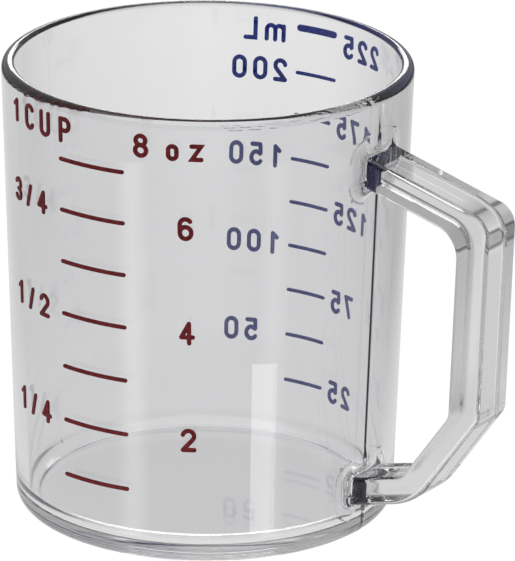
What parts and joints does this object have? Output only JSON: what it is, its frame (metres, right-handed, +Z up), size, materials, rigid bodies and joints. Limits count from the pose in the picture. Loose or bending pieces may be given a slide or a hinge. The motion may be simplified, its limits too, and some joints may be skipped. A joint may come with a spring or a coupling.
{
  "type": "measuring cup",
  "caption": "Clear round measuring cup with a drafted wall, an angular bar handle and raised painted scales in cups, ounces and millilitres.",
  "frame": {"origin": "centre of the cup's underside, on the surface that it stands on", "axes": "+Z up the cup's axis, +X towards the handle, cups and ounces on the -Y side, millilitres on the +Y side"},
  "size_m": [0.0939, 0.0702, 0.0793],
  "materials": {
    "clear_polycarbonate": "clear injection-moulded polycarbonate, polished",
    "red_paint": "dark red paint rolled on raised marks",
    "blue_paint": "blue paint rolled on raised marks"
  },
  "bodies": {
    "root": {"cup_body": "clear_polycarbonate", "cups_half_1_1": "red_paint", "cups_half_2_slash": "red_paint", "cups_half_3_2": "red_paint", "cups_one": "red_paint", "cups_quarter_1_1": "red_paint", "cups_quarter_2_slash": "red_paint", "cups_quarter_3_4": "red_paint", "cups_three_quarters_1_3": "red_paint", "cups_three_quarters_2_slash": "red_paint", "cups_three_quarters_3_4": "red_paint", "handle": "clear_polycarbonate", "millilitre_line_100": "blue_paint", "millilitre_line_125": "blue_paint", "millilitre_line_150": "blue_paint", "millilitre_line_175": "blue_paint", "millilitre_line_200": "blue_paint", "millilitre_line_225": "blue_paint", "millilitre_line_25": "blue_paint", "millilitre_line_50": "blue_paint", "millilitre_line_75": "blue_paint", "millilitres_100_1_1": "blue_paint", "millilitres_100_2_0": "blue_paint", "millilitres_100_3_0": "blue_paint", "millilitres_125_1_1": "blue_paint", "millilitres_125_2_2": "blue_paint", "millilitres_125_3_5": "blue_paint", "millilitres_150_1_1": "blue_paint", "millilitres_150_2_5": "blue_paint", "millilitres_150_3_0": "blue_paint", "millilitres_175_1_1": "blue_paint", "millilitres_175_2_7": "blue_paint", "millilitres_175_3_5": "blue_paint", "millilitres_200_1_2": "blue_paint", "millilitres_200_2_0": "blue_paint", "millilitres_200_3_0": "blue_paint", "millilitres_225_1_2": "blue_paint", "millilitres_225_2_2": "blue_paint", "millilitres_225_3_5": "blue_paint", "millilitres_25_1_2": "blue_paint", "millilitres_25_2_5": "blue_paint", "millilitres_50_1_5": "blue_paint", "millilitres_50_2_0": "blue_paint", "millilitres_75_1_7": "blue_paint", "millilitres_75_2_5": "blue_paint", "ounce_line_1": "red_paint", "ounce_line_2": "red_paint", "ounce_line_3": "red_paint", "ounce_line_4": "red_paint", "ounce_line_5": "red_paint", "ounce_line_6": "red_paint", "ounce_line_7": "red_paint", "ounces_2": "red_paint", "ounces_4": "red_paint", "ounces_6": "red_paint", "ounces_8": "red_paint"}
  },
  "joints": []
}
